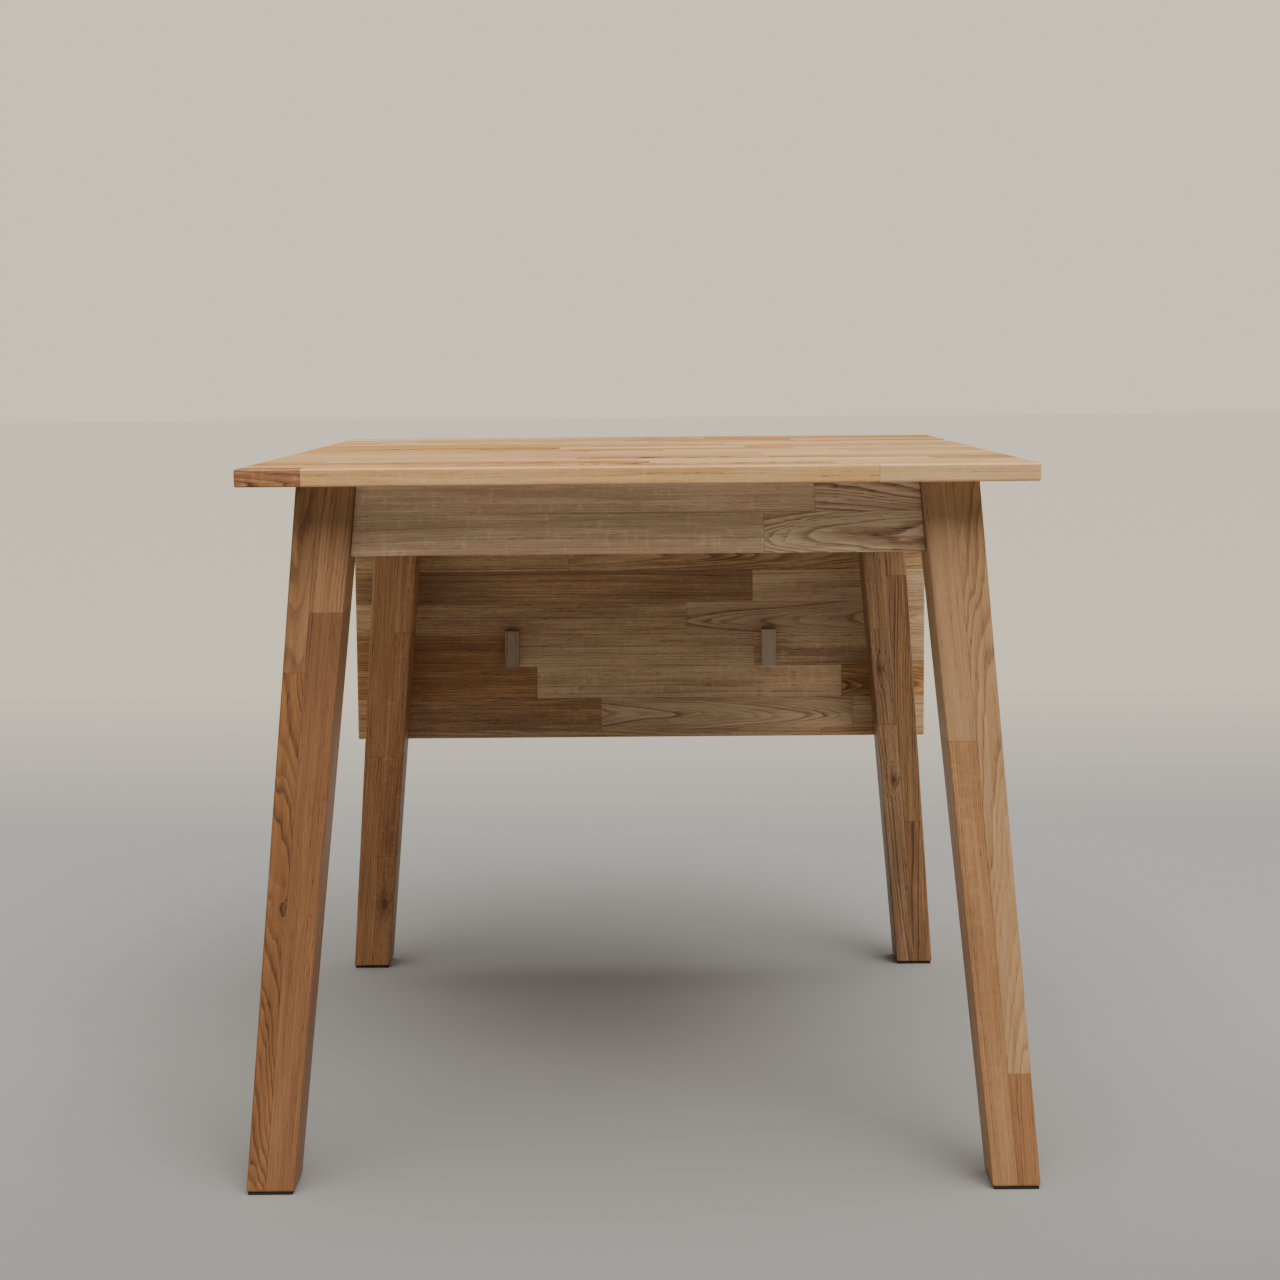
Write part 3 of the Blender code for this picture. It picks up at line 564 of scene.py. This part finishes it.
def apron_board(name, side, ends, low, high, rows, chosen, seed):
    """A board of one side's apron, between two ends.  An end that is None meets a leg and leans too."""
    quarter = ("rear", "left", "front", "right").index(side)
    cos, sin = np.round((np.cos(quarter * np.pi / 2), np.sin(quarter * np.pi / 2)))
    leg = LEG_FACE - LEG_SIDES[0] - GAP
    start, stop = (leg * sign if end is None else end for end, sign in zip(ends, (-1, 1)))
    length = stop - start
    thickness = APRON_FACES[1] - APRON_FACES[0]

    def shape(along, across, through):
        lean = (LEG_SPREAD + LEG_SIDES[0] - LEG_SIDES[1]) * (APRON_DROP - low - across) / UNDERSIDE
        first = start - lean * (ends[0] is None)
        last = stop + lean * (ends[1] is None)
        x = first + (last - first) * along / length
        y = APRON_FACES[0] + through
        z = UNDERSIDE - APRON_DROP + low + across
        return x * cos - y * sin, TOP_MIDDLE[1] + x * sin + y * cos, z

    staves = lay_staves(np.random.default_rng(seed), length, rows, chosen, contrast=0.75)
    board(name, "table_frame", side + "_apron", FRAME_OAK,
          (length, high - low, thickness), staves, shape, radius=0.8 * MM)


def build_aprons():
    """Aprons of two stave rows; the rear one is four boards round the two supports' slots."""
    split = 42.4 * MM
    # Partly painted light: these staves are paler than the legs' wood to paint in light that the
    # apron's recess under the top does not get; their grey is their own.
    front = {(0, 0): look(10, 22, 0.07, (-0.21, -0.1, 0.22), contrast=1.7),
             (0, 1): look(-110, 50, 0.005, (-0.17, -0.1, 0.22)),
             (1, 0): look(12, 20, 0.085, (-0.23, -0.1, 0.24), contrast=1.7),
             (1, 1): look(120, 50, 0.005, (-0.21, -0.1, 0.22))}
    for seed, (side, low_joint, high_joint, chosen) in enumerate((
            ("front", 0.161, 0.108, front), ("left", 0.210, 0.380, {}), ("right", 0.330, 0.150, {}))):
        rows = [(-ROW_EXTRA, split, [low_joint]), (split, APRON_DROP + ROW_EXTRA, [high_joint])]
        apron_board(side + "_apron_oak", side, (None, None), 0.0, APRON_HEIGHT, rows, chosen, 80 + seed)
    ledge = APRON_DROP - SLOT_HEIGHT
    near, far = SUPPORT_PLACE - SLOT_HALF_WIDTH, SUPPORT_PLACE + SLOT_HALF_WIDTH
    apron_board("rear_apron_lower_oak", "rear", (None, None), 0.0, ledge,
                [(-ROW_EXTRA, 0.06, [0.340])], {}, 90)
    for number, ends in enumerate(((None, -far), (-near, near), (far, None))):
        apron_board("rear_apron_upper_oak_%d" % (number + 1), "rear", ends, ledge, APRON_HEIGHT,
                    [(-ROW_EXTRA, 0.08, [])], {}, 91 + number)


# ------------------------------------------------------------------ supports and stop blocks


def build_supports():
    """The two pull-out supports, one stave each, that slide under the leaf."""
    for number, side in enumerate(("left", "right")):
        rng = np.random.default_rng(30 + number)
        low, high = (np.array(corner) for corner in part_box(side + "_loper"))

        def shape(along, across, through):
            return high[0] - through, low[1] + along, low[2] + across

        size = (high - low)[[1, 2, 0]]
        staves = lay_staves(rng, size[0], [(-ROW_EXTRA, size[1] + ROW_EXTRA, [])])
        board(side + "_support_oak", side + "_support", side + "_loper", FRAME_OAK,
              size, staves, shape, radius=1.5 * MM)


def build_stop_blocks():
    """Small unoiled blocks on the leaf that the supports meet, their grain down the leaf."""
    length, width, thickness = 51 * MM, 20 * MM, 15 * MM
    down_leaf = 247.5 * MM  # from the hinge's axis
    back = 3.5 * MM  # from the hinge's axis, just clear of the leaf's inner face
    # Tones partly their own and partly painted shade: the left block is darker for the deeper shadow on
    # the left of the leaf's inner face.
    for number, (side, x, tone) in enumerate((("left", -SUPPORT_PLACE, (0.02, 0.0, 0.25)),
                                              ("right", SUPPORT_PLACE, (-0.36, 0.0, 0.34)))):
        rng = np.random.default_rng(40 + number)

        def shape(along, across, through):
            return in_leaf_frame(x + width / 2 - across, down_leaf + along, back - through)

        row = (-ROW_EXTRA, width + ROW_EXTRA, [])
        staves = lay_staves(rng, length, [row], {(0, 0): {"tone": tone}})
        board(side + "_stop_block_oak", "leaf", side + "_stop_block", RAW_OAK,
              (length, width, thickness), staves, shape, radius=1.0 * MM)


# ------------------------------------------------------------------ hardware


def screw_mesh(name, head, shank, length):
    """Countersunk screw along +Z with a cross recess in its flat head.

    Rings run from the middle of the head to its rim, then down the cone and the shank to the tip.
    The recess sinks by its depth where the smaller of |x| and |y| is under its half width and the
    larger is under its reach.
    """
    turns = 72
    rim = 0.15 * MM
    half_width = 0.13 * head
    reach = 0.52 * head
    depth = 0.42 * head
    inner = np.linspace(0, 1, 20)[1:] * (head - rim)
    radius = np.concatenate([inner, [head, shank, shank]])
    height = np.concatenate([0.0 * inner, [rim, head - shank, length - 2 * shank]])
    angle = np.arange(turns) * 2 * np.pi / turns
    x = radius[:, None] * np.cos(angle)
    y = radius[:, None] * np.sin(angle)
    narrow = np.clip((half_width - np.minimum(abs(x), abs(y))) / (0.05 * head) + 0.5, 0, 1)
    short = np.clip((reach - np.maximum(abs(x), abs(y))) / (0.10 * head) + 0.5, 0, 1)
    z = height[:, None] + narrow * short * depth
    rings = np.stack([x, y, z], axis=-1).reshape(-1, 3)
    points = np.concatenate([rings, [(0, 0, depth), (0, 0, length)]])
    ring = np.arange(len(radius) * turns).reshape(len(radius), turns)
    after = np.roll(ring, -1, axis=1)
    quads = np.stack([ring[:-1], ring[1:], after[1:], after[:-1]], axis=-1).reshape(-1, 4)
    middle = np.stack([after[0], ring[0] * 0 + len(rings), ring[0]], axis=-1)
    tip = np.stack([ring[-1], ring[0] * 0 + len(rings) + 1, after[-1]], axis=-1)
    mesh = bpy.data.meshes.new(name)
    mesh.from_pydata(points, [], [*quads[:, ::-1].tolist(), *middle.tolist(), *tip.tolist()])
    return mesh


def add_screw(name, kind, body, place, node=None):
    """A screw of one kind put in place; +Z of the place runs into the wood."""
    mesh = screw_mesh(name, *kind)
    mesh.transform(place)
    return piece(name, mesh, body, ZINC_STEEL, node)


def build_screws():
    """Screws of the hinges, and those of the brackets and corner blocks, which the CAD leaves out."""
    # Each kind of screw has a head radius, a shank radius and a length.
    small = (3.1 * MM, 1.5 * MM, 13.5 * MM)
    large = (4.2 * MM, 2.2 * MM, 28 * MM)
    # Holes of a hinge plate, in millimetres along the pin and away from it.
    hinge_holes = ((-17.5, 14.0), (0.0, 21.0), (17.5, 14.0))
    plate_face = 1.9 * MM
    # Brackets along the rear, left, front and right apron.
    bracket_places = ((-0.070, 0.070), (0.0,), (-0.120, 0.120), (0.0,))
    bracket_face = 2.4 * MM
    bracket_hole = 13.7 * MM
    for side, x in (("left", -HINGE_PLACE), ("right", HINGE_PLACE)):
        for number, (dx, dy) in enumerate(hinge_holes, start=1):
            spot = Matrix.Translation((dx * MM, dy * MM, plate_face))
            across = Matrix.Translation((x, 0, 0))
            for part, frame_here, body in (
                    ("table", HINGE @ across @ Matrix.Rotation(np.pi, 4, "Z"), "table_frame"),
                    ("leaf", LEAF_FRAME @ across, "leaf")):
                name = "%s_hinge_%s_screw_%d" % (side, part, number)
                add_screw(name + "_steel", small, body, frame_here @ spot, name)
    middle = Matrix.Translation([float(c) for c in TOP_MIDDLE])
    to_apron = Matrix.Rotation(-np.pi / 2, 4, "X")
    to_next_apron = Matrix.Rotation(np.pi / 2, 4, "Y")
    apron_side = APRON_FACES[0]
    for quarter, places in enumerate(bracket_places):
        turn = middle @ Matrix.Rotation(quarter * np.pi / 2, 4, "Z")
        for number, x in enumerate(places, start=1):
            label = "bracket_%d_%d" % (quarter + 1, number)
            up = Matrix.Translation((x, apron_side - bracket_hole, -bracket_face))
            out = Matrix.Translation((x, apron_side - bracket_face, -bracket_hole)) @ to_apron
            add_screw(label + "_top_screw", small, "table_frame", turn @ up)
            add_screw(label + "_apron_screw", small, "table_frame", turn @ out)
        for label, x, y, aim in (("one", 0.266, 0.305, to_apron), ("two", 0.305, 0.266, to_next_apron)):
            spot = Matrix.Translation((x, y, -38 * MM))
            add_screw("corner_block_%d_screw_%s" % (quarter + 1, label), large, "table_frame",
                      turn @ spot @ aim)


def zinc_material():
    """Zinc-plated steel: a cool satin grey, slightly clouded, with faint rolling lines."""
    material, tree, shader = new_material("zinc_plated_steel")
    place = add(tree, "TexCoord", out="Object")
    cloud = add(tree, "TexNoise", inputs={"Vector": place, "Scale": cells(4)[0], "Detail": 4.0})
    tone = add(tree, "ValToRGB", cloud, stops=((0.30, "#a9adb1"), (0.72, "#c9cbcc")))
    rough = add(tree, "MapRange", cloud, 0.0, 1.0, 0.24, 0.46)
    stretched = add(tree, "Mapping", place, inputs={"Scale": cells(3.5, 0.17, 0.17)})
    lines = add(tree, "TexNoise", inputs={"Vector": stretched, "Scale": 1.0, "Detail": 2.0})
    bump = add(tree, "Bump", inputs={"Height": lines, "Distance": 0.02 * MM, "Strength": 0.5})
    shader.inputs["Metallic"].default_value = 1.0
    tree.links.new(tone, shader.inputs["Base Color"])
    tree.links.new(rough, shader.inputs["Roughness"])
    tree.links.new(bump, shader.inputs["Normal"])
    return material


def beech_material():
    """Planed beech: pale pinkish tan, close straight grain with short darker flecks."""
    material, tree, shader = new_material("planed_beech")
    place = add(tree, "TexCoord", out="Object")
    broad = add(tree, "Mapping", place, inputs={"Scale": cells(80, 80, 11)})
    broad = add(tree, "TexNoise", inputs={"Vector": broad, "Scale": 1.0, "Detail": 3.0})
    fleck = add(tree, "Mapping", place, inputs={"Scale": cells(1.8, 0.9, 0.6)})
    fleck = add(tree, "TexNoise", inputs={"Vector": fleck, "Scale": 1.0, "Detail": 1.0})
    fleck = add(tree, "MapRange", fleck, 0.60, 0.72, interpolation_type="SMOOTHSTEP")
    shade = add(tree, "Math", fleck, 0.30, broad, operation="MULTIPLY_ADD")
    tone = add(tree, "ValToRGB", shade, stops=((0.30, "#cfa67f"), (0.85, "#a97852")))
    bump = add(tree, "Bump", inputs={"Height": shade, "Distance": 0.06 * MM, "Strength": 0.6})
    shader.inputs["Roughness"].default_value = 0.62
    tree.links.new(tone, shader.inputs["Base Color"])
    tree.links.new(bump, shader.inputs["Normal"])
    return material


def felt_material():
    """Pressed dark brown felt: matt, fuzzy, with paler fibres."""
    material, tree, shader = new_material("dark_felt")
    place = add(tree, "TexCoord", out="Object")
    fibre = add(tree, "TexNoise", inputs={"Vector": place, "Scale": cells(0.45)[0], "Detail": 3.0})
    tone = add(tree, "ValToRGB", fibre, stops=((0.35, "#231d18"), (0.75, "#4a4038")))
    bump = add(tree, "Bump", inputs={"Height": fibre, "Distance": 0.3 * MM, "Strength": 0.8})
    shader.inputs["Roughness"].default_value = 1.0
    tree.links.new(tone, shader.inputs["Base Color"])
    tree.links.new(bump, shader.inputs["Normal"])
    return material


def finish_cad_nodes():
    """Give every CAD node that is still shown its finish."""
    for name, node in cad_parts.items():
        if "bolt" in name or "nut" in name or "hinge" in name or "bracket" in name:
            finish = ZINC_STEEL
        elif "pad" in name:
            finish = FELT
        else:
            finish = BEECH
        node.data.materials.clear()
        node.data.materials.append(finish)


# ------------------------------------------------------------------ stage


def build_stage():
    """Plain grey floor that is paler far behind the table, like a studio sweep."""
    half = 30
    mesh = bpy.data.meshes.new("floor")
    corners = [(-half, -half, 0), (half, -half, 0), (half, half, 0), (-half, half, 0)]
    mesh.from_pydata(corners, [], [(0, 1, 2, 3)])
    material, tree, shader = new_material("pale_floor")
    place = add(tree, "TexCoord", out="Object")
    depth = add(tree, "SeparateXYZ", place, out="Y")
    depth = add(tree, "MapRange", depth, -1.0, 3.0)
    shade = add(tree, "ValToRGB", depth, stops=((0.10, "#8f9092"), (0.25, "#9d9ea0"), (0.55, "#9d9ea0"),
                                                (0.95, "#cdc6b9")))
    tree.links.new(shade, shader.inputs["Base Color"])
    shader.inputs["Roughness"].default_value = 0.8
    mesh.materials.append(material)
    floor = bpy.data.objects.new("floor", mesh)
    bpy.context.scene.collection.objects.link(floor)


def sun(name, direction, strength, spread, colour):
    """A lamp far off in a direction, spread over that many degrees of the sky."""
    light = bpy.data.lights.new(name, "SUN")
    light.energy = strength
    light.angle = np.radians(spread)
    light.color = linear(colour)[:3]
    lamp = bpy.data.objects.new(name, light)
    lamp.matrix_world = Vector(direction).to_track_quat("Z", "Y").to_matrix().to_4x4()
    bpy.context.scene.collection.objects.link(lamp)


def build_lights():
    """Soft light from overhead and the front right, and a weak fill; the surround looks like a wall."""
    world = bpy.data.worlds.new("studio")
    world.use_nodes = True
    tree = world.node_tree
    seen = add(tree, "Background", linear("#d6ccb6"), 1.45)
    fill = add(tree, "Background", linear("#d6d4d0"), 0.12)
    mixed = add(tree, "MixShader", add(tree, "LightPath", out="Is Camera Ray"), fill, seen)
    tree.links.new(mixed, tree.nodes["World Output"].inputs["Surface"])
    bpy.context.scene.world = world
    sun("overhead_light", (0.10, -0.30, 1.0), 4.2, 70, "#fff8ec")
    sun("window_light", (0.55, -1.0, 1.3), 0.85, 32, "#fff9f0")


def build_camera():
    """Standing in front of the table at a little over its height, and looking down at it."""
    lens = bpy.data.cameras.new("camera")
    lens.lens = 55.13
    lens.sensor_width = 36.0
    camera = bpy.data.objects.new("camera", lens)
    place = Matrix.Translation((0.0057, -2.348, 0.8488))
    turn = Matrix.Rotation(np.radians(0.13), 4, "Z")
    tilt = Matrix.Rotation(np.radians(90 - 7.98), 4, "X")
    roll = Matrix.Rotation(np.radians(-0.49), 4, "Z")
    camera.matrix_world = place @ turn @ tilt @ roll
    bpy.context.scene.collection.objects.link(camera)
    bpy.context.scene.camera = camera


# ------------------------------------------------------------------ the table

# Shades of each finish, from its palest wood to its darkest pores.
TOP_SHADES = ((0.0, "#edc898"), (0.34, "#daa96f"), (0.62, "#aa7645"), (1.0, "#5f3d22"))
# The palest frame stop mostly carries the front apron's painted light.
FRAME_SHADES = ((0.0, "#deb78a"), (0.12, "#c79b6a"), (0.30, "#b88856"), (0.60, "#91623a"),
                (1.0, "#4a301d"))
RAW_SHADES = ((0.0, "#c0a489"), (0.30, "#a88a6e"), (0.60, "#80644c"), (1.0, "#453528"))

# Light honey oak under satin oil: dark pores and arches, each stave its own tone.
TOP_OAK = oak_material("oiled_oak_top", TOP_SHADES, roughness=0.46)
# The same oak with a browner oil on the legs, aprons and supports.
FRAME_OAK = oak_material("oiled_oak_frame", FRAME_SHADES, roughness=0.48)
# Bare, slightly weathered oak: grey-brown and dry.
RAW_OAK = oak_material("raw_oak", RAW_SHADES, roughness=0.72)
ZINC_STEEL = zinc_material()
BEECH = beech_material()
FELT = felt_material()

finish_cad_nodes()
build_top()
build_leaf()
build_legs()
build_aprons()
build_supports()
build_stop_blocks()
build_screws()
build_stage()
build_lights()
build_camera()
